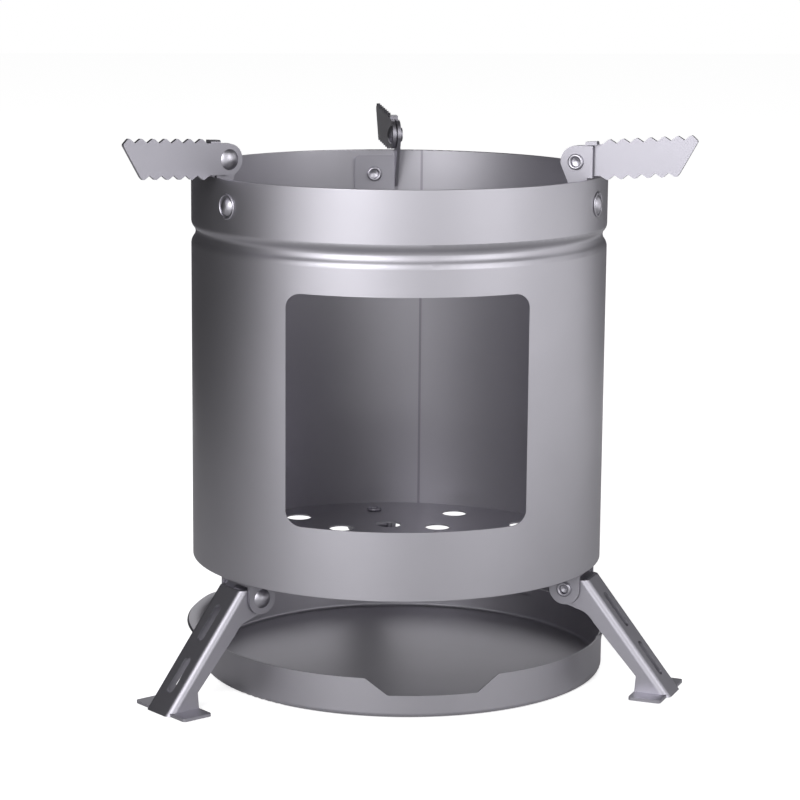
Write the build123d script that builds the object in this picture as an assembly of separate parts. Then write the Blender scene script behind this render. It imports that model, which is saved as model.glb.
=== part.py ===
from build123d import *
import os
from math import atan2, cos, degrees, hypot, radians, sin, sqrt

# Folding titanium wood stove, in millimetres.
# Origin: on the floor, under the axis of the round body. +Z is up and the
# front, between the two front legs, faces -Y.

# Body shell: a rolled and welded sheet drum
BODY_R = 72.5
SHEET = 0.6
BODY_BOTTOM_Z = 40.6
RIM_Z = 177.2
EDGE_ROUND = 0.25
GROOVE_Z = RIM_Z - 21.6
GROOVE_DEPTH = 1.5
GROOVE_UP = 3.8
GROOVE_DOWN = 4.3

# Fuel window, turned a little to the left of the front
WINDOW_TURN = -5.45
WINDOW_HALF_ANGLE = 33.65
WINDOW_LOW_Z = 64.1
WINDOW_HIGH_Z = 142.2
WINDOW_CORNER = 5.0

# Bottom grate
GRATE_TOP_Z = BODY_BOTTOM_Z + 0.9
GRATE_T = 0.6
HOLE_R = 4.6
OUTER_RING_R = 59.0
INNER_RING_R = 35.5
INNER_RING_TURN = -3.5
RING_COUNT = 12
CENTRE_RING_R = 12.0
CENTRE_COUNT = 4

# Ash tray, standing a little off the body's axis
TRAY_R = 71.5
TRAY_H = 13.4
TRAY_T = 0.6
TRAY_CORNER = 1.6
TRAY_X = 2.5
TRAY_Y = 0.9
NOTCH_TOP_HALF = 18.5
NOTCH_LOW_HALF = 12.3
NOTCH_FLOOR_Z = 7.7
NOTCH_CORNER = 1.6
LIP_OUT = 5.7
LIP_RISE = 2.6
LIP_CENTRE = 100.0
LIP_HALF = 33.0
LIP_BLEND = 12.0
LIP_ROOT_Z = 9.5
LIP_SPANS = 14
LIP_MID_OUT = 0.5
LIP_MID_RISE = 0.86
LIP_MID_THIN = 0.6

# Azimuths of the three pot supports and of the three legs, which stand a little off even thirds
ARM_STATIONS = {"left": -60.0, "right": 60.0, "rear": 180.0}
LEG_STATIONS = {"left": -58.5, "right": 59.7, "rear": 180.0}

# Rivets: a solid dome and a bored end that is rolled outwards
SHANK_R = 2.0
BORE_R = 1.55
BORE_DEPTH = 1.7
BORE_CONE = 0.4
DOME_R = 3.2
DOME_H = 1.5
ARM_DOME_R = 3.5
LEG_DOME_R = 3.3
ROLL_R = 2.7
ROLL_H = 1.1
LEG_ROLL_R = 2.6
LEG_BORE_R = 1.4
RING_IN_R = 3.55
RING_CREST_R = 3.95
RING_OUT_R = 4.35
RING_FLOOR = 0.12
RING_H = 0.5
FIXED_GAP = 0.02
PIVOT_GAP = 0.06
STACK_PLAY = 0.05
WASHER_PLAY = 0.04
WALL_SAG = 0.14
CUT_LENGTH = 12.0

# Pot supports: a bracket on the inside wall carries a toothed arm
ARM_PIVOT_R = 67.3
ARM_PIVOT_Z = 183.1
ARM_T = 1.2
ARM_FACE_S = -6.6
WASHER_T = 0.6
WASHER_R = 3.4
ARM_TILTS = {"left": 2.83, "right": 4.9, "rear": 2.83}
ARM_END_R = 5.3
TOOTH_PITCH = 4.71
TOOTH_DEPTH = 1.45
TOOTH_TIP = 0.7
TOOTH_ROUND = 0.8
ARM_TOP_H = 6.8
ARM_LOW_H = 6.65
TOP_FIRST = 39.8
LOW_FIRST = 33.7
TOP_TEETH = 7
LOW_TEETH = 6
TIP_A = 42.1
TIP_H = 4.8
TAB_IN = 3.7
TAB_OUT = 7.7
TAB_LOW = 5.27
TAB_T = 1.2
EAR_R = 5.4
EAR_OUT = 5.8
EAR_FOOT_H = -5.3
FIN_FOOT_W = 1.0
FIN_KNEE_W = 1.2
FIN_KNEE_Z = ARM_PIVOT_Z - 19.5
PLATE_T = 1.0
PLATE_HALF_CCW = 6.5
PLATE_TOP_Z = RIM_Z - 2.1
PLATE_LOW_Z = RIM_Z - 15.9
WALL_RIVET_S = -0.8
WALL_RIVET_Z = RIM_Z - 9.0

# Legs: a folded channel on a clevis bracket under the grate
LEG_PIVOT_R = 65.9
LEG_PIVOT_Z = 35.0
LEG_T = 1.0
LEG_HALF_W = 6.85
LEG_BEND_R = 2.2
LEG_BEND_IN_R = 1.2
LEG_TOP = (73.9, 38.3)
LEG_TOE = (104.4, 0.0)
LEG_EAR_R = 4.7
LEG_EAR_END = 235.0
LEG_STOP_Z = 39.8
LEG_STOP_FROM = 1.0
LEG_STOP_TO = 3.9
LEG_STEP_TO = 4.9
LEG_THROAT = (66.8, 29.3)
LEG_ELBOW = ((72.8, 27.4), (74.9, 25.8), (76.4, 23.9))
LEG_KINK = (92.1, 6.4)
SLOT_HALF_W = 1.7
SLOT_SPANS = ((6.5, 20.7), (27.1, 41.1))
WING_OUT = 14.3
WING_IN_R = 91.6
WING_OUT_R = 103.1
WING_CORNER = 1.2
BRACKET_T = 1.0
BRACKET_GAP = 0.15
BRACKET_IN_R = 53.5
BRACKET_EAR_R = 5.45
BRACKET_RIVET_R = 59.0

ARM_BACK_S = ARM_FACE_S - ARM_T
EAR_FACE_S = ARM_BACK_S - WASHER_T
EAR_BACK_S = EAR_FACE_S - ARM_T
GRATE_LOW_Z = GRATE_TOP_Z - GRATE_T
BASE_LOW_Z = GRATE_LOW_Z - BRACKET_T
CLEVIS_IN = LEG_HALF_W + BRACKET_GAP
CLEVIS_OUT = CLEVIS_IN + BRACKET_T
BRACKET_OUT_R = LEG_PIVOT_R + BRACKET_EAR_R


def side_plane(s):
    """Plane of a station: x is the radius, y the height and z points clockwise, seen from above."""
    return Plane(origin=(0, s, 0), x_dir=(1, 0, 0), z_dir=(0, -1, 0))


def plate_of(face, s_low, s_high):
    """Stand a flat outline, drawn as radius and height, up between the offsets s_low and s_high."""
    placed = side_plane(s_high) * face
    return extrude(placed, amount=s_high - s_low, dir=(0, -1, 0))


def at_station(shape, azimuth):
    """Turn a shape from the station frame (radius on +X, s on +Y) to its place on the body."""
    return Rot(0, 0, azimuth - 90.0) * shape


def polar_point(radius, azimuth, height=0.0):
    """Point at an azimuth that counts from -Y towards +X."""
    turn = radians(azimuth)
    return (radius * sin(turn), -radius * cos(turn), height)


def groove_edges(radius):
    """The rolled groove as four tangent arcs, from its lower end to its upper end."""
    edges = []
    mid = radius - GROOVE_DEPTH / 2
    deep = radius - GROOVE_DEPTH
    for high, sign in ((GROOVE_DOWN, -1), (GROOVE_UP, 1)):
        arc_r = (GROOVE_DEPTH ** 2 + high ** 2) / (4 * GROOVE_DEPTH)
        turn = atan2(high / 2, arc_r - GROOVE_DEPTH / 2) / 2
        end = (radius, GROOVE_Z + sign * high)
        join = (mid, GROOVE_Z + sign * high / 2)
        root = (deep, GROOVE_Z)
        near_end = (radius - arc_r * (1 - cos(turn)), end[1] - sign * arc_r * sin(turn))
        near_root = (deep + arc_r * (1 - cos(turn)), GROOVE_Z + sign * arc_r * sin(turn))
        if sign < 0:
            edges.append(ThreePointArc(end, near_end, join))
            edges.append(ThreePointArc(join, near_root, root))
        else:
            edges.append(ThreePointArc(root, near_root, join))
            edges.append(ThreePointArc(join, near_end, end))
    return edges


def body_shell():
    """Drum with the rolled groove, the window cut through and the rivet holes."""
    inner = BODY_R - SHEET
    outside = [Line((BODY_R, BODY_BOTTOM_Z), (BODY_R, GROOVE_Z - GROOVE_DOWN))]
    outside += groove_edges(BODY_R)
    outside += [Line((BODY_R, GROOVE_Z + GROOVE_UP), (BODY_R, RIM_Z))]
    inside = [Line((inner, BODY_BOTTOM_Z), (inner, GROOVE_Z - GROOVE_DOWN))]
    inside += groove_edges(inner)
    inside += [Line((inner, GROOVE_Z + GROOVE_UP), (inner, RIM_Z))]
    ends = [Line((inner, BODY_BOTTOM_Z), (BODY_R, BODY_BOTTOM_Z)), Line((inner, RIM_Z), (BODY_R, RIM_Z))]
    profile = Plane.XZ * make_face(outside + inside + ends)
    shell = revolve(profile, Axis.Z, 360)
    rims = shell.edges().filter_by(GeomType.CIRCLE).group_by(Axis.Z)
    shell = fillet(list(rims[0]) + list(rims[-1]), EDGE_ROUND)
    shell -= window_cutter()
    for azimuth in ARM_STATIONS.values():
        shell -= at_station(wall_rivet_hole(), azimuth)
    return shell


def wall_rivet_hole():
    """Cutter for a wall rivet's shank, in the station's frame."""
    cutter = Cylinder(SHANK_R + FIXED_GAP, CUT_LENGTH)
    return Pos(BODY_R, WALL_RIVET_S, WALL_RIVET_Z) * Rot(0, 90, 0) * cutter


def window_cutter():
    """Block that cuts the window: straight up the sides, with round corners."""
    width = 2 * BODY_R * sin(radians(WINDOW_HALF_ANGLE))
    height = WINDOW_HIGH_Z - WINDOW_LOW_Z
    outline = RectangleRounded(width, height, WINDOW_CORNER)
    block = extrude(Plane.XZ * outline, amount=BODY_R * 1.1)
    block = Pos(0, 0, (WINDOW_LOW_Z + WINDOW_HIGH_Z) / 2) * block
    return Rot(0, 0, WINDOW_TURN) * block


def bottom_grate():
    """Flat disc with rings of draught holes and a rivet hole over each leg bracket."""
    disc = Pos(0, 0, GRATE_LOW_Z) * Cylinder(
        BODY_R - SHEET - FIXED_GAP, GRATE_T, align=(Align.CENTER, Align.CENTER, Align.MIN))
    step = 360 / RING_COUNT
    outer = [i * step for i in range(RING_COUNT) if i * step % 120 != 60]
    inner = [i * step + INNER_RING_TURN for i in range(RING_COUNT)]
    middle = [45 + i * 360 / CENTRE_COUNT for i in range(CENTRE_COUNT)]
    for radius, azimuths in ((OUTER_RING_R, outer), (INNER_RING_R, inner), (CENTRE_RING_R, middle)):
        for azimuth in azimuths:
            disc -= Pos(*polar_point(radius, azimuth, GRATE_LOW_Z)) * Cylinder(HOLE_R, CUT_LENGTH)
    for azimuth in LEG_STATIONS.values():
        point = polar_point(BRACKET_RIVET_R, azimuth, GRATE_LOW_Z)
        disc -= Pos(*point) * Cylinder(SHANK_R + FIXED_GAP, CUT_LENGTH)
    return disc


def lip_flare(turn):
    """How far the rim is pulled out at an angle from the lip's middle: 1 along it, 0 past its ends."""
    step = (LIP_HALF - abs(turn)) / LIP_BLEND
    step = min(max(step, 0.0), 1.0)
    return step * step * (3 - 2 * step)


def lip_section(azimuth, flare):
    """Closed slice of the tray's wall: steep at first, then nearly flat out to the lip's edge."""
    tip_r = TRAY_R + LIP_OUT * flare
    tip_z = TRAY_H + LIP_RISE * flare
    mid_r = TRAY_R + LIP_OUT * flare * LIP_MID_OUT
    mid_z = LIP_ROOT_Z + (tip_z - LIP_ROOT_Z) * LIP_MID_RISE
    thick = TRAY_T * flare
    outer = [(TRAY_R, LIP_ROOT_Z), (mid_r, mid_z - thick * LIP_MID_THIN), (tip_r, tip_z - thick)]
    inner = [(tip_r - TRAY_T, tip_z), (mid_r - TRAY_T, mid_z), (TRAY_R - TRAY_T, LIP_ROOT_Z)]
    outer = [polar_point(radius, azimuth, height) for radius, height in outer]
    inner = [polar_point(radius, azimuth, height) for radius, height in inner]
    edges = [Spline(*outer), Line(outer[-1], inner[0]), Spline(*inner), Line(inner[-1], outer[0])]
    return Wire([edge for part in edges for edge in part.edges()])


def tray_lip(side):
    """Pulled-out grip lip: a smooth loft through slices of the wall that starts and ends flush with it."""
    slices = []
    for index in range(LIP_SPANS + 1):
        turn = -LIP_HALF + 2 * LIP_HALF * index / LIP_SPANS
        slices.append(lip_section(side * (LIP_CENTRE + turn), lip_flare(turn)))
    return Solid.make_loft(slices, ruled=False)


def ash_tray():
    """Shallow round tray with a notch in its front wall and two grip lips."""
    edges = [
        Line((0, 0), (TRAY_R - TRAY_CORNER, 0)),
        corner_arc(TRAY_R - TRAY_CORNER, TRAY_CORNER, TRAY_CORNER),
        Line((TRAY_R, TRAY_CORNER), (TRAY_R, TRAY_H)),
        Line((TRAY_R, TRAY_H), (TRAY_R - TRAY_T, TRAY_H)),
        Line((TRAY_R - TRAY_T, TRAY_H), (TRAY_R - TRAY_T, TRAY_CORNER)),
        corner_arc(TRAY_R - TRAY_CORNER, TRAY_CORNER, TRAY_CORNER - TRAY_T),
        Line((TRAY_R - TRAY_CORNER, TRAY_T), (0, TRAY_T)),
        Line((0, TRAY_T), (0, 0))]
    tray = revolve(Plane.XZ * make_face(edges), Axis.Z, 360)
    tray -= notch_cutter()
    for side in (-1, 1):
        tray -= lip_gap(side)
        tray += tray_lip(side)
    return Pos(TRAY_X, TRAY_Y, 0) * tray


def corner_arc(centre_r, centre_z, radius):
    """Quarter arc from straight down to straight out."""
    diagonal = radius / sqrt(2)
    low = (centre_r, centre_z - radius)
    middle = (centre_r + diagonal, centre_z - diagonal)
    return ThreePointArc(low, middle, (centre_r + radius, centre_z))


def lip_gap(side):
    """Sector that clears the straight wall where the lip takes its place."""
    span = 2 * LIP_HALF
    ring = Cylinder(TRAY_R + 1, TRAY_H, arc_size=span, align=(Align.CENTER, Align.CENTER, Align.MIN))
    ring -= Cylinder(TRAY_R - TRAY_T - 0.5, 3 * TRAY_H)
    start = side * LIP_CENTRE - span / 2 - 90
    return Pos(0, 0, LIP_ROOT_Z) * Rot(0, 0, start) * ring


def notch_cutter():
    """Trapezoid notch through the front wall."""
    top = TRAY_R * sin(radians(NOTCH_TOP_HALF))
    low = TRAY_R * sin(radians(NOTCH_LOW_HALF))
    lift = TRAY_H * 0.2
    slope = (top - low) / (TRAY_H - NOTCH_FLOOR_Z)
    wide = top + slope * lift
    top_z = TRAY_H + lift
    corners = [(-low, NOTCH_FLOOR_Z), (low, NOTCH_FLOOR_Z), (wide, top_z), (-wide, top_z)]
    outline = make_face(Polyline(*corners, close=True))
    outline = fillet(outline.vertices().sort_by(Axis.Y)[:2], NOTCH_CORNER)
    return extrude(Plane.XZ * outline, amount=TRAY_R * 1.2)


def rivet(grip, dome_r=DOME_R, roll_r=ROLL_R, bore_r=BORE_R):
    """Rivet along +Z: its dome is above z = 0 and its bored and rolled end is below z = -grip."""
    sphere_r = (dome_r ** 2 + DOME_H ** 2) / (2 * DOME_H)
    tail = -grip - ROLL_H
    bend = ROLL_H / 2
    bore_floor = tail + BORE_DEPTH
    inner_turn = bend * (1 - 1 / sqrt(2))
    edges = [
        ThreePointArc((0, DOME_H), (dome_r / 2, sphere_height(sphere_r, dome_r / 2)), (dome_r, 0)),
        Line((dome_r, 0), (SHANK_R, 0)),
        Line((SHANK_R, 0), (SHANK_R, -grip)),
        Line((SHANK_R, -grip), (roll_r - bend, -grip)),
        ThreePointArc((roll_r - bend, -grip), (roll_r, -grip - bend), (roll_r - bend, tail)),
        Line((roll_r - bend, tail), (bore_r + bend, tail)),
        ThreePointArc((bore_r + bend, tail), (bore_r + inner_turn, tail + inner_turn), (bore_r, tail + bend)),
        Line((bore_r, tail + bend), (bore_r, bore_floor)),
        Line((bore_r, bore_floor), (0, bore_floor + BORE_CONE)),
        Line((0, bore_floor + BORE_CONE), (0, DOME_H))]
    return revolve(Plane.XZ * make_face(edges), Axis.Z, 360)


def rivet_cup():
    """Raised ring round a wall rivet's dome, one piece with the rivet."""
    edges = [
        Line((SHANK_R, 0), (RING_OUT_R, 0)),
        ThreePointArc((RING_OUT_R, 0), (RING_CREST_R, RING_H), (RING_IN_R, RING_FLOOR)),
        Line((RING_IN_R, RING_FLOOR), (SHANK_R, RING_FLOOR)),
        Line((SHANK_R, RING_FLOOR), (SHANK_R, 0))]
    return revolve(Plane.XZ * make_face(edges), Axis.Z, 360)


def sphere_height(sphere_r, radius):
    """Height of the dome's surface above its flat, at a radius from its axis."""
    return sqrt(sphere_r ** 2 - radius ** 2) - sphere_r + DOME_H


def pot_bracket():
    """Plate riveted inside the wall, bent at one edge into a fin that rises to an ear."""
    wall_r = BODY_R - SHEET
    plate_r = wall_r - PLATE_T
    band = Cylinder(wall_r, PLATE_TOP_Z - PLATE_LOW_Z, align=(Align.CENTER, Align.CENTER, Align.MIN))
    band -= Cylinder(plate_r, 2 * RIM_Z)
    width = PLATE_HALF_CCW - EAR_BACK_S
    outline = RectangleRounded(width, PLATE_TOP_Z - PLATE_LOW_Z, 1.8)
    window = extrude(Plane.YZ * outline, amount=2 * BODY_R)
    middle = (PLATE_HALF_CCW + EAR_BACK_S) / 2
    plate_piece = Pos(0, 0, PLATE_LOW_Z) * band
    plate_piece &= Pos(0, middle, (PLATE_TOP_Z + PLATE_LOW_Z) / 2) * window
    fin_r = sqrt(wall_r ** 2 - EAR_BACK_S ** 2) - FIXED_GAP
    fin = plate_of(ear_outline(fin_r), EAR_BACK_S, EAR_FACE_S)
    piece = plate_piece + fin
    piece -= pivot_bore(ARM_PIVOT_R, ARM_PIVOT_Z, EAR_BACK_S, EAR_FACE_S, SHANK_R + FIXED_GAP)
    piece -= wall_rivet_hole()
    return piece


def ear_outline(root_r):
    """Side view of the fin and its ear, as radius and height."""
    r0, z0 = ARM_PIVOT_R, ARM_PIVOT_Z
    slant = radians(190)
    start = (r0 + EAR_R * cos(slant), z0 + EAR_R * sin(slant))
    mid = (r0 + EAR_R * cos(radians(140)), z0 + EAR_R * sin(radians(140)))
    edges = [
        ThreePointArc(start, mid, (r0, z0 + EAR_R)),
        Line((r0, z0 + EAR_R), (r0 + EAR_OUT, z0 + EAR_R)),
        Line((r0 + EAR_OUT, z0 + EAR_R), (r0 + EAR_OUT, z0 + EAR_FOOT_H)),
        Line((r0 + EAR_OUT, z0 + EAR_FOOT_H), (root_r, z0 + EAR_FOOT_H)),
        Line((root_r, z0 + EAR_FOOT_H), (root_r, PLATE_LOW_Z)),
        Line((root_r, PLATE_LOW_Z), (root_r - FIN_FOOT_W, PLATE_LOW_Z)),
        Line((root_r - FIN_FOOT_W, PLATE_LOW_Z), (root_r - FIN_KNEE_W, FIN_KNEE_Z)),
        Line((root_r - FIN_KNEE_W, FIN_KNEE_Z), start)]
    return make_face(edges)


def pivot_bore(radius, height, s_low, s_high, bore_r):
    """Round cutter along a station's pivot axis, a little longer than the piece it cuts."""
    length = s_high - s_low + 2
    return Pos(radius, (s_low + s_high) / 2, height) * Rot(90, 0, 0) * Cylinder(bore_r, length)


def arm_points():
    """Outline of the toothed arm, counted from its pivot: outwards along a, upwards along h."""
    low_valley = -(ARM_LOW_H - TOOTH_DEPTH)
    top_valley = ARM_TOP_H - TOOTH_DEPTH
    half = TOOTH_PITCH / 2
    points = [(0, low_valley + 0.1)]
    last_low = LOW_FIRST - (LOW_TEETH - 1) * TOOTH_PITCH
    points.append((last_low - half - 0.3, low_valley))
    for index in range(LOW_TEETH):
        peak = last_low + index * TOOTH_PITCH
        points.append((peak - TOOTH_TIP / 2, -ARM_LOW_H))
        points.append((peak + TOOTH_TIP / 2, -ARM_LOW_H))
        if index < LOW_TEETH - 1:
            points.append((peak + half, low_valley))
    points.append((LOW_FIRST + 1.3, -ARM_LOW_H + 0.9))
    points.append((TIP_A, TIP_H))
    for index in range(TOP_TEETH):
        peak = TOP_FIRST - index * TOOTH_PITCH
        points.append((peak + TOOTH_TIP / 2, ARM_TOP_H))
        points.append((peak - TOOTH_TIP / 2, ARM_TOP_H))
        if index < TOP_TEETH - 1:
            points.append((peak - half, top_valley))
    points.append((TOP_FIRST - (TOP_TEETH - 1) * TOOTH_PITCH - half, top_valley))
    points.append((0, top_valley))
    return points


def pot_arm(tilt):
    """Toothed arm with a round pivot end and a stop tab folded over the bracket's ear."""
    blade = make_face(Polyline(*arm_points(), close=True))
    blade = fillet(blade.vertices().filter_by(is_tooth_tip), TOOTH_ROUND)
    blade += Circle((ARM_TOP_H + ARM_LOW_H) / 2 - TOOTH_DEPTH - FIXED_GAP)
    placed = Pos(ARM_PIVOT_R, ARM_PIVOT_Z) * Rot(0, 0, tilt)
    arm = plate_of(placed * blade, ARM_BACK_S, ARM_FACE_S)
    tab = Pos((TAB_IN + TAB_OUT) / 2, TAB_LOW + TAB_T / 2) * Rectangle(TAB_OUT - TAB_IN, TAB_T)
    tab_piece = plate_of(placed * tab, EAR_BACK_S, ARM_FACE_S)
    corners = tab_piece.edges().filter_by(lambda e: abs(e.center().Y - ARM_FACE_S) < 0.1)
    corners = corners.sort_by(Axis.Z)[-1:]
    tab_piece = fillet(corners, ARM_T * 0.7)
    arm += tab_piece
    arm -= pivot_bore(ARM_PIVOT_R, ARM_PIVOT_Z, ARM_BACK_S, ARM_FACE_S, SHANK_R + PIVOT_GAP)
    return arm


def is_tooth_tip(vertex):
    """True for the outline's points on the teeth's two tip lines and on the arm's upper end."""
    height = vertex.Y
    on_line = abs(height - ARM_TOP_H) < 0.01 or abs(height + ARM_LOW_H) < 0.01
    return on_line or abs(height - TIP_H) < 0.01


def arm_rivet():
    """Pivot rivet of an arm: dome on the arm's side, rolled end on the ear's side."""
    grip = ARM_FACE_S - EAR_BACK_S + STACK_PLAY
    return Pos(ARM_PIVOT_R, ARM_FACE_S + STACK_PLAY, ARM_PIVOT_Z) * Rot(-90, 0, 0) * rivet(grip, ARM_DOME_R)


def arm_washer():
    """Thin spacer between an arm and its bracket's ear."""
    ring = Cylinder(WASHER_R, WASHER_T - WASHER_PLAY) - Cylinder(SHANK_R + FIXED_GAP, CUT_LENGTH)
    middle = (ARM_BACK_S + EAR_FACE_S - WASHER_PLAY) / 2
    return Pos(ARM_PIVOT_R, middle, ARM_PIVOT_Z) * Rot(90, 0, 0) * ring


def wall_rivet():
    """Rivet that holds a pot bracket: dome in its cup outside the body, rolled end inside."""
    grip = SHEET + PLATE_T + WALL_SAG
    return Pos(BODY_R, WALL_RIVET_S, WALL_RIVET_Z) * Rot(0, 90, 0) * (rivet(grip) + rivet_cup())


def leg_bracket():
    """Clevis under the grate: a base plate with two hanging ears."""
    depth = GRATE_LOW_Z - BASE_LOW_Z
    length = BRACKET_OUT_R - BRACKET_IN_R
    base = Pos(BRACKET_IN_R + length / 2, 0, BASE_LOW_Z + depth / 2) * Box(length, 2 * CLEVIS_OUT, depth)
    ears = []
    for s_low, s_high in ((-CLEVIS_OUT, -CLEVIS_IN), (CLEVIS_IN, CLEVIS_OUT)):
        ears.append(plate_of(clevis_outline(), s_low, s_high))
    bracket = base + ears
    bracket -= pivot_bore(LEG_PIVOT_R, LEG_PIVOT_Z, -CLEVIS_OUT, CLEVIS_OUT, SHANK_R + FIXED_GAP)
    bracket -= Pos(BRACKET_RIVET_R, 0, BASE_LOW_Z) * Cylinder(SHANK_R + FIXED_GAP, CUT_LENGTH)
    return bracket


def clevis_outline():
    """Side view of a bracket's ear: a U round the pivot, with straight sides up to the base."""
    r0, z0, ear_r = LEG_PIVOT_R, LEG_PIVOT_Z, BRACKET_EAR_R
    edges = [
        Line((r0 - ear_r, GRATE_LOW_Z), (r0 + ear_r, GRATE_LOW_Z)),
        Line((r0 + ear_r, GRATE_LOW_Z), (r0 + ear_r, z0)),
        ThreePointArc((r0 + ear_r, z0), (r0, z0 - ear_r), (r0 - ear_r, z0)),
        Line((r0 - ear_r, z0), (r0 - ear_r, GRATE_LOW_Z))]
    return make_face(edges)


def leg_flange_outline():
    """Side view of a leg's flange: pivot end, stop pad, spine line, toe, heel and inner edge."""
    r0, z0 = LEG_PIVOT_R, LEG_PIVOT_Z
    end = radians(LEG_EAR_END)
    start = (r0 + LEG_EAR_R * cos(end), z0 + LEG_EAR_R * sin(end))
    arc_end = (r0, z0 + LEG_EAR_R)
    heel = (WING_IN_R, 0)
    edges = [
        ThreePointArc(start, (r0 - LEG_EAR_R, z0), arc_end),
        Line(arc_end, (r0 + LEG_STOP_FROM, LEG_STOP_Z)),
        Line((r0 + LEG_STOP_FROM, LEG_STOP_Z), (r0 + LEG_STOP_TO, LEG_STOP_Z)),
        Line((r0 + LEG_STOP_TO, LEG_STOP_Z), (r0 + LEG_STEP_TO, LEG_TOP[1])),
        Line((r0 + LEG_STEP_TO, LEG_TOP[1]), LEG_TOP),
        Line(LEG_TOP, LEG_TOE),
        Line(LEG_TOE, heel),
        Line(heel, LEG_KINK),
        Line(LEG_KINK, LEG_ELBOW[2]),
        ThreePointArc(LEG_ELBOW[2], LEG_ELBOW[1], LEG_ELBOW[0]),
        Line(LEG_ELBOW[0], LEG_THROAT),
        Line(LEG_THROAT, start)]
    return make_face(edges)


def spine_frame():
    """Length and downward slope of the spine's outer face."""
    run = LEG_TOE[0] - LEG_TOP[0]
    drop = LEG_TOP[1] - LEG_TOE[1]
    return hypot(run, drop), degrees(atan2(drop, run))


def leg():
    """Pressed channel: solid side outline, hollowed from inside, with slots and foot wings."""
    body = plate_of(leg_flange_outline(), -LEG_HALF_W, LEG_HALF_W)
    length, slope = spine_frame()
    spine = Pos(LEG_TOP[0], 0, LEG_TOP[1]) * Rot(0, slope, 0)
    bends = body.edges().filter_by(on_spine_line)
    body = fillet(bends, LEG_BEND_R)
    inside_w = 2 * (LEG_HALF_W - LEG_T)
    hollow = Box(4 * length, inside_w, length, align=(Align.CENTER, Align.CENTER, Align.MAX))
    hollow = fillet(hollow.edges().filter_by(Axis.X).sort_by(Axis.Z)[-2:], LEG_BEND_IN_R)
    body -= spine * Pos(0, 0, -LEG_T) * hollow
    for start, end in SLOT_SPANS:
        slot = extrude(SlotOverall(end - start, 2 * SLOT_HALF_W), amount=CUT_LENGTH / 2, both=True)
        body -= spine * Pos((start + end) / 2, 0, 0) * slot
    body += foot_wings()
    body -= pivot_bore(LEG_PIVOT_R, LEG_PIVOT_Z, -LEG_HALF_W, LEG_HALF_W, SHANK_R + PIVOT_GAP)
    return body


def on_spine_line(edge):
    """True for the two long outer edges of the leg's spine."""
    if edge.length < 0.8 * spine_frame()[0]:
        return False
    middle = edge.center()
    line_r = (LEG_TOP[0] + LEG_TOE[0]) / 2
    return abs(middle.X - line_r) < 0.5


def foot_wings():
    """Two flat feet bent outwards from the foot of the flanges."""
    wings = []
    width = WING_OUT - LEG_HALF_W + LEG_T
    length = WING_OUT_R - WING_IN_R
    for side in (-1, 1):
        wing = Box(length, width, LEG_T, align=(Align.MIN, Align.CENTER, Align.MIN))
        corners = wing.edges().filter_by(Axis.Z)
        corners = corners.sort_by(lambda e: side * e.center().Y)[-2:]
        wing = fillet(corners, WING_CORNER)
        middle = side * (WING_OUT - width / 2)
        wings.append(Pos(WING_IN_R, middle, 0) * wing)
    return wings


def leg_rivet():
    """Long pivot rivet through both ears and the leg between them."""
    grip = 2 * CLEVIS_OUT
    piece = rivet(grip, LEG_DOME_R, LEG_ROLL_R, LEG_BORE_R)
    return Pos(LEG_PIVOT_R, CLEVIS_OUT, LEG_PIVOT_Z) * Rot(-90, 0, 0) * piece


def bracket_rivet():
    """Rivet that holds a leg bracket under the grate: rolled end up, dome down."""
    grip = GRATE_TOP_Z - BASE_LOW_Z
    return Pos(BRACKET_RIVET_R, 0, BASE_LOW_Z) * Rot(180, 0, 0) * rivet(grip)


UPPER_PARTS = {
    "pot_bracket": pot_bracket,
    "wall_rivet": wall_rivet,
    "arm_rivet": arm_rivet,
    "arm_washer": arm_washer,
}
LOWER_PARTS = {
    "leg_bracket": leg_bracket,
    "bracket_rivet": bracket_rivet,
    "leg": leg,
    "leg_rivet": leg_rivet,
}


def write(name, shape):
    """Save one node and print its size."""
    size = shape.bounding_box().size
    export_step(shape, f"parts/{name}.step")
    print(name, [round(v, 1) for v in (size.X, size.Y, size.Z)])


def main():
    os.makedirs("parts", exist_ok=True)
    write("body_shell", body_shell())
    write("bottom_grate", bottom_grate())
    write("ash_tray", ash_tray())
    for parts, stations in ((UPPER_PARTS, ARM_STATIONS), (LOWER_PARTS, LEG_STATIONS)):
        for kind, make in parts.items():
            piece = make()
            for side, azimuth in stations.items():
                write(f"{side}_{kind}", at_station(piece, azimuth))
    for side, azimuth in ARM_STATIONS.items():
        write(f"{side}_pot_arm", at_station(pot_arm(ARM_TILTS[side]), azimuth))


main()
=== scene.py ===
# %% [markdown]
# # A folding titanium wood stove
#
# The stove is a drum of thin titanium sheet with a window for feeding sticks. Three pressed legs
# fold in under it, three toothed arms fold out of its rim to carry a pot, and a loose tray
# catches the ash. The CAD model already holds every one of those pieces with its shape and size,
# so this lesson keeps them as they are and spends its effort on metal, light and one small mark.

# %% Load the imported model
from math import cos, pi, radians, sin

import bmesh
import bpy
from mathutils import Matrix, Vector


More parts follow.
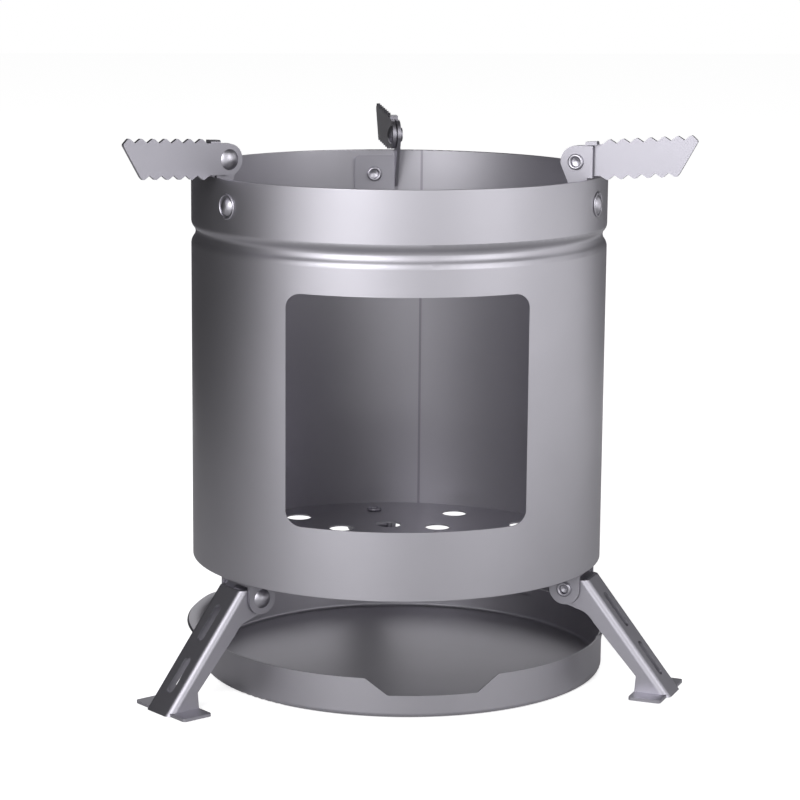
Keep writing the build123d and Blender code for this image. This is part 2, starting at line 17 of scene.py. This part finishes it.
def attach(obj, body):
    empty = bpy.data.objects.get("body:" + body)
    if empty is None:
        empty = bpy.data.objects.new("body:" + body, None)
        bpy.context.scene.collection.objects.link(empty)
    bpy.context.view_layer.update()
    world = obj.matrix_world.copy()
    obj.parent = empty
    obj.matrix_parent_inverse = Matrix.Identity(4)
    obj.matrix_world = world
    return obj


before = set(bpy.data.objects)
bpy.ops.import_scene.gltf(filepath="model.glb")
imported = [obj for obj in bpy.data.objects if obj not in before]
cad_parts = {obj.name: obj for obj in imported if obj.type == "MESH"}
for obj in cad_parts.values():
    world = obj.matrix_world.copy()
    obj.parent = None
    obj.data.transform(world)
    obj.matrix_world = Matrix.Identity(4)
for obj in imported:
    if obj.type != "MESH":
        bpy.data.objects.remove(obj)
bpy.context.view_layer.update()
MM = 0.001

# %% [markdown]
# Three sides carry an arm and a leg each: two at the front and one at the rear. Angles count
# from the front (-Y) towards the right (+X), as they do in the CAD model. One function turns
# such an angle and a radius into a point, and later cells use it. Blender's unit is the metre,
# so every size in millimetres is multiplied by MM.

# %% Sides and sizes
SIDES = ("left", "right", "rear")
BODY_R = 72.5 * MM
SHEET = 0.6 * MM
BODY_BOTTOM_Z = 40.6 * MM
RIM_Z = 177.2 * MM


def around(radius, azimuth, height=0.0):
    """Point at a radius and an azimuth in degrees, in metres."""
    turn = radians(azimuth)
    return Vector((radius * sin(turn), -radius * cos(turn), height))


print("front of the drum", [round(v, 4) for v in around(BODY_R, 0)])

# %% [markdown]
# Colours are easiest to judge on screen, so they are written as the hex values that a colour
# picker shows. Blender's shaders want linear light, and one function makes that step for all of
# them. A second small function adds a node with its settings and links, so that a material
# reads as a short list.

# %% Colour and node helpers
def linear(hex_colour):
    """sRGB hex text to linear RGBA."""
    values = [int(hex_colour[i:i + 2], 16) / 255 for i in (1, 3, 5)]
    return tuple(v / 12.92 if v <= 0.04045 else ((v + 0.055) / 1.055) ** 2.4 for v in values) + (1.0,)


def add_node(tree, kind, settings=None, inputs=None):
    """Add a node. Settings are its properties, and an input is a value or another node's output."""
    node = tree.nodes.new(kind)
    for name, value in (settings or {}).items():
        setattr(node, name, value)
    for name, value in (inputs or {}).items():
        if isinstance(value, bpy.types.NodeSocket):
            tree.links.new(value, node.inputs[name])
        else:
            node.inputs[name].default_value = value
    return node


def new_material(name):
    """An empty node material, its tree and its output node."""
    material = bpy.data.materials.new(name)
    material.use_nodes = True
    tree = material.node_tree
    tree.nodes.clear()
    return material, tree, add_node(tree, "ShaderNodeOutputMaterial")


WHITE = linear("#ffffff")
print("white in linear light", WHITE)

# %% [markdown]
# Titanium sheet is grey with a faint violet cast. Blasting it with fine beads leaves tiny pits
# that spread every reflection, so a lamp shows as a broad soft band and never as a sharp image.
# A metallic surface with a middling roughness gives that band. Two patterns break it up: the
# pits, drawn at 0.35 mm because real ones are usually under 0.1 mm and wouldn't show, and slow
# clouds of a few centimetres, as if the blasting had been a little heavier in places.

# %% Blasted titanium
PIT = 0.35 * MM
PIT_DEPTH = 0.02 * MM
CLOUD = 30 * MM
CLOUD_TONE = 0.06
ROUGHNESS_SPREAD = 0.05


def blasted_titanium(name, colour, roughness, grain=0.35):
    """Bead-blasted titanium: broad soft reflections, a fine pitted grain and slow clouds."""
    material, tree, output = new_material(name)
    coords = add_node(tree, "ShaderNodeTexCoord")
    pits = add_node(tree, "ShaderNodeTexNoise", None, {
        "Vector": coords.outputs["Object"], "Scale": 1 / PIT, "Detail": 2.0, "Roughness": 0.6})
    clouds = add_node(tree, "ShaderNodeTexNoise", None, {
        "Vector": coords.outputs["Object"], "Scale": 1 / CLOUD, "Detail": 3.0, "Roughness": 0.55})
    tone = add_node(tree, "ShaderNodeMapRange", None, {
        "Value": clouds.outputs["Fac"], "To Min": 1 - CLOUD_TONE, "To Max": 1 + CLOUD_TONE})
    tint = add_node(tree, "ShaderNodeMix", {"data_type": "RGBA", "blend_type": "MULTIPLY"}, {
        "Factor": 1.0, "A": linear(colour), "B": tone.outputs["Result"]})
    gloss = add_node(tree, "ShaderNodeMapRange", None, {
        "Value": pits.outputs["Fac"],
        "To Min": roughness - ROUGHNESS_SPREAD, "To Max": roughness + ROUGHNESS_SPREAD})
    bump = add_node(tree, "ShaderNodeBump", None, {
        "Height": pits.outputs["Fac"], "Strength": grain, "Distance": PIT_DEPTH})
    shader = add_node(tree, "ShaderNodeBsdfPrincipled", None, {
        "Base Color": tint.outputs["Result"], "Metallic": 1.0,
        "Roughness": gloss.outputs["Result"], "Normal": bump.outputs["Normal"]})
    tree.links.new(shader.outputs["BSDF"], output.inputs["Surface"])
    return material


sheet_titanium = blasted_titanium("blasted_titanium_sheet", "#acaab1", 0.46)
pressed_titanium = blasted_titanium("blasted_titanium_pressings", "#a4a2aa", 0.46)
print("metals", sheet_titanium.name, pressed_titanium.name)

# %% [markdown]
# The rivets' domes are matte like the sheet, as if they had been blasted with it, but a little
# smoother, so each one catches a somewhat smaller bright spot. The same metal with a lower
# roughness and a fainter grain shows that.

# %% Rivet metal
rivet_metal = blasted_titanium("blasted_titanium_rivets", "#b0aeb6", 0.4, grain=0.2)
print("rivets", rivet_metal.name)

# %% [markdown]
# The CAD nodes get these three metals by what they are: rolled sheet for the drum, the grate
# and the tray, pressings for brackets, arms and legs, and rivet metal for rivets and washers.
# Every node is one piece of one metal, so one material slot is enough for each.

# %% Dress the CAD nodes
SHEET_NODES = ("body_shell", "bottom_grate", "ash_tray")
PRESSINGS = ("pot_bracket", "pot_arm", "leg_bracket", "leg")
RIVETS = ("wall_rivet", "arm_rivet", "arm_washer", "bracket_rivet", "leg_rivet")


def dress(node, material):
    """Give a CAD node's object one material."""
    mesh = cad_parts[node].data
    mesh.materials.clear()
    mesh.materials.append(material)


for node in SHEET_NODES:
    dress(node, sheet_titanium)
for side in SIDES:
    for kind in PRESSINGS:
        dress(f"{side}_{kind}", pressed_titanium)
    for kind in RIVETS:
        dress(f"{side}_{kind}", rivet_metal)
print("dressed", len(SHEET_NODES) + len(SIDES) * (len(PRESSINGS) + len(RIVETS)), "nodes")

# %% [markdown]
# The drum is a strip of sheet rolled round and welded end to end. The weld shows at the back as
# a narrow upright strip, darker than the sheet, inside and out, as if it had been ground and
# blasted over. It has to follow the wall through the rolled groove, so first a function gives
# the wall's radius at any height.

# %% Profile of the wall
GROOVE_Z = RIM_Z - 21.6 * MM
GROOVE_DEPTH = 1.5 * MM
GROOVE_UP = 3.8 * MM
GROOVE_DOWN = 4.3 * MM
GROOVE_STEPS = 24
SEAM_END = 0.3 * MM


def wall_radius(height):
    """Outer radius of the drum at a height, with the rolled groove."""
    above = height - GROOVE_Z
    reach = GROOVE_UP if above > 0 else GROOVE_DOWN
    if abs(above) >= reach:
        return BODY_R
    return BODY_R - GROOVE_DEPTH * (0.5 + 0.5 * cos(pi * above / reach))


def seam_heights():
    """Heights up the wall: far apart on the straight parts and close together in the groove."""
    low, high = GROOVE_Z - GROOVE_DOWN, GROOVE_Z + GROOVE_UP
    groove = [low + (high - low) * step / GROOVE_STEPS for step in range(GROOVE_STEPS + 1)]
    return [BODY_BOTTOM_Z + SEAM_END] + groove + [RIM_Z - SEAM_END]


print("radius at the groove's floor", round(wall_radius(GROOVE_Z) / MM, 2), "mm")

# %% [markdown]
# The seam starts as one flat face, a slice through the wall that stands a hair proud of it on
# both sides. A spin about the drum's axis through the seam's small angle makes it solid. A spin
# can turn a shape inside out, so the normals are worked out again at the end.

# %% Weld seam at the back
SEAM_AZIMUTH = 165.0
SEAM_WIDTH = 0.9 * MM
SEAM_PROUD = 0.05 * MM


def build_seam():
    """Slice of the wall, spun through the seam's small angle."""
    heights = seam_heights()
    outside = [(wall_radius(z) + SEAM_PROUD, z) for z in heights]
    inside = [(wall_radius(z) - SHEET - SEAM_PROUD, z) for z in reversed(heights)]
    half = SEAM_WIDTH / BODY_R / 2
    turn = radians(SEAM_AZIMUTH) - half
    ring = bmesh.new()
    corners = [ring.verts.new((r * sin(turn), -r * cos(turn), z)) for r, z in outside + inside]
    face = ring.faces.new(corners)
    bmesh.ops.spin(ring, geom=[face], cent=(0, 0, 0), axis=(0, 0, 1), angle=2 * half, steps=1)
    bmesh.ops.recalc_face_normals(ring, faces=ring.faces)
    mesh = bpy.data.meshes.new("weld_seam")
    ring.to_mesh(mesh)
    ring.free()
    return bpy.data.objects.new("weld_seam", mesh)


weld_grey = blasted_titanium("ground_weld", "#95929a", 0.5)
seam = build_seam()
seam.data.materials.append(weld_grey)
bpy.context.collection.objects.link(seam)
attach(seam, "stove")
print("weld seam faces", len(seam.data.polygons))

# %% [markdown]
# The camera stands a little to the left of the front and looks slightly down, from about nine
# tenths of a metre away. A long lens keeps the drum's sides nearly parallel. Yaw, pitch and a
# very small roll say where it looks, and three axes built from them make its matrix.

# %% Camera
CAMERA_AT = Vector((-132.7, -900.4, 265.7)) * MM
YAW, PITCH, ROLL = radians(8.435), radians(10.62), radians(0.50)
LENS = 117.72
SENSOR_WIDTH = 36.0
CLIP_NEAR, CLIP_FAR = 0.05, 30.0

camera_data = bpy.data.cameras.new("camera")
camera_data.sensor_width = SENSOR_WIDTH
camera_data.lens = LENS
camera_data.clip_start = CLIP_NEAR
camera_data.clip_end = CLIP_FAR
camera = bpy.data.objects.new("camera", camera_data)
bpy.context.collection.objects.link(camera)
forward = Vector((sin(YAW) * cos(PITCH), cos(YAW) * cos(PITCH), -sin(PITCH)))
level_right = Vector((cos(YAW), -sin(YAW), 0.0))
level_up = level_right.cross(forward)
right = cos(ROLL) * level_right + sin(ROLL) * level_up
up = cos(ROLL) * level_up - sin(ROLL) * level_right
turned = Matrix((right, up, -forward)).transposed().to_4x4()
camera.matrix_world = Matrix.Translation(CAMERA_AT) @ turned
bpy.context.scene.camera = camera
print("camera", [round(v, 3) for v in CAMERA_AT], "lens", LENS)

# %% [markdown]
# Rough metal shows its surroundings as soft bands, so the places of the lamps matter more than
# their strength. A softbox to the left of the camera makes the broad band left of the middle of
# the drum, a weaker one lifts the right side, and one overhead lights the top edges. Distances
# and sizes are in metres, and power is in watts.

# %% Lamps
STOVE_MIDDLE = Vector((0, 0, 0.1))


def softbox(name, azimuth, elevation, distance, width, height, power):
    """Rectangular area lamp that faces the middle of the stove."""
    turn, lift = radians(azimuth), radians(elevation)
    away = Vector((sin(turn) * cos(lift), -cos(turn) * cos(lift), sin(lift)))
    lamp = bpy.data.lights.new(name, "AREA")
    lamp.shape = "RECTANGLE"
    lamp.size = width
    lamp.size_y = height
    lamp.energy = power
    holder = bpy.data.objects.new(name, lamp)
    bpy.context.collection.objects.link(holder)
    holder.rotation_mode = "QUATERNION"
    holder.rotation_quaternion = away.to_track_quat("Z", "Y")
    holder.location = STOVE_MIDDLE + away * distance


softbox("key_left", azimuth=-34, elevation=24, distance=1.6, width=0.9, height=1.1, power=18)
softbox("fill_right", azimuth=40, elevation=20, distance=1.7, width=0.8, height=1.1, power=8)
softbox("overhead", azimuth=0, elevation=80, distance=1.6, width=1.4, height=1.4, power=2)

# %% [markdown]
# The background is plain white. The camera, metal and glass all have to see it as white, but at
# that strength it would light the matte floor so much that the stove's soft shadow washed out.
# The Light Path node tells the two uses apart: rays from the camera, off metal and through glass
# get full white, and all other rays get a dim fill.

# %% White world
FILL = 0.3


def seen_rays(tree):
    """1 for the rays that show the background: from the camera, off metal or through glass."""
    path = add_node(tree, "ShaderNodeLightPath")
    camera_or_metal = add_node(tree, "ShaderNodeMath", {"operation": "MAXIMUM"}, {
        0: path.outputs["Is Camera Ray"], 1: path.outputs["Is Glossy Ray"]})
    return add_node(tree, "ShaderNodeMath", {"operation": "MAXIMUM"}, {
        0: camera_or_metal.outputs[0], 1: path.outputs["Is Transmission Ray"]}).outputs[0]


world = bpy.data.worlds.new("studio")
bpy.context.scene.world = world
world.use_nodes = True
sky = world.node_tree
sky.nodes.clear()
strength = add_node(sky, "ShaderNodeMapRange", None, {
    "Value": seen_rays(sky), "To Min": FILL, "To Max": 1.0})
paper = add_node(sky, "ShaderNodeBackground", None, {
    "Color": WHITE, "Strength": strength.outputs["Result"]})
add_node(sky, "ShaderNodeOutputWorld", None, {"Surface": paper.outputs[0]})
print("world", world.name, "with", len(sky.nodes), "nodes")

# %% [markdown]
# The floor is a matte pale sheet with a glow added for those same rays. The matte part keeps
# the stove's soft shadow, and the glow lifts the rest nearly to white, so the far end of the
# floor hardly shows. The sheet lies a hair below zero, clear of the feet and the tray.

# %% Floor
FLOOR_SIZE = 8.0
FLOOR_Z = -0.3 * MM
FLOOR_GLOW = 0.7


def sheet_object(name, width, height, material, placing):
    """Flat rectangle of one material, placed by a matrix and kept out of the object."""
    mesh = bpy.data.meshes.new(name)
    grid = bmesh.new()
    bmesh.ops.create_grid(grid, x_segments=1, y_segments=1, size=0.5)
    bmesh.ops.scale(grid, vec=(width, height, 1.0), verts=grid.verts)
    bmesh.ops.transform(grid, matrix=placing, verts=grid.verts)
    grid.to_mesh(mesh)
    grid.free()
    mesh.materials.append(material)
    piece = bpy.data.objects.new(name, mesh)
    bpy.context.collection.objects.link(piece)
    return piece


floor_white, tree, output = new_material("pale_studio_floor")
paint = add_node(tree, "ShaderNodeBsdfDiffuse", None, {"Color": linear("#f4f4f4")})
glow_strength = add_node(tree, "ShaderNodeMath", {"operation": "MULTIPLY"}, {
    0: seen_rays(tree), 1: FLOOR_GLOW})
glow = add_node(tree, "ShaderNodeEmission", None, {
    "Color": WHITE, "Strength": glow_strength.outputs[0]})
both = add_node(tree, "ShaderNodeAddShader", None, {0: paint.outputs[0], 1: glow.outputs[0]})
tree.links.new(both.outputs[0], output.inputs["Surface"])
floor = sheet_object("floor", FLOOR_SIZE, FLOOR_SIZE, floor_white, Matrix.Translation((0, 0, FLOOR_Z)))
print("floor", tuple(round(v, 2) for v in floor.dimensions))

# %% [markdown]
# White all round would make the drum look flat. A photographer sets dark cards round such a
# metal thing, out of the picture, and their reflections draw its dark edges. The cards here are
# matte boards that only reflections show: the camera looks through them and they cast no shadow.

# %% Boards for the cards
def matte_board(name, colour):
    """Plain matte board."""
    material, tree, output = new_material(name)
    matte = add_node(tree, "ShaderNodeBsdfDiffuse", None, {"Color": linear(colour)})
    tree.links.new(matte.outputs[0], output.inputs["Surface"])
    return material


def hidden_card(name, width, height, board, placing):
    """Card that the camera and matte things don't see and that casts no shadow."""
    piece = sheet_object(name, width, height, board, placing)
    piece.visible_camera = False
    piece.visible_diffuse = False
    piece.visible_shadow = False


black_board = matte_board("black_card", "#1c1c1e")
grey_board = matte_board("grey_card", "#c6c6c6")
print("boards", black_board.name, grey_board.name)

# %% [markdown]
# A large black card stands at the left and behind, and a smaller one at the right and behind.
# A third hangs overhead and darkens the inside of the drum. A grey card under the stove tones
# down the white floor in the tray, the legs and the lower part of the drum.

# %% Cards
TOP_CARD_AT = Vector((0, 0.1, 0.5))
FLOOR_CARD_AT = Vector((0, -0.1, -0.1 * MM))


def standing_card(name, azimuth, distance, width, height):
    """Upright black card that stands on the floor and faces the stove."""
    facing = around(1.0, azimuth).to_track_quat("Z", "Y").to_matrix().to_4x4()
    placing = Matrix.Translation(around(distance, azimuth, height / 2)) @ facing
    hidden_card(name, width, height, black_board, placing)


standing_card("card_left", azimuth=-122, distance=0.4, width=1.0, height=0.7)
standing_card("card_right", azimuth=135, distance=0.6, width=0.55, height=0.6)
hidden_card("card_top", 1.0, 0.8, black_board, Matrix.Translation(TOP_CARD_AT))
hidden_card("card_floor", 0.8, 1.0, grey_board, Matrix.Translation(FLOOR_CARD_AT))

# %% [markdown]
# The Standard view shows a colour as it is written.

bpy.context.scene.view_settings.view_transform = "Standard"
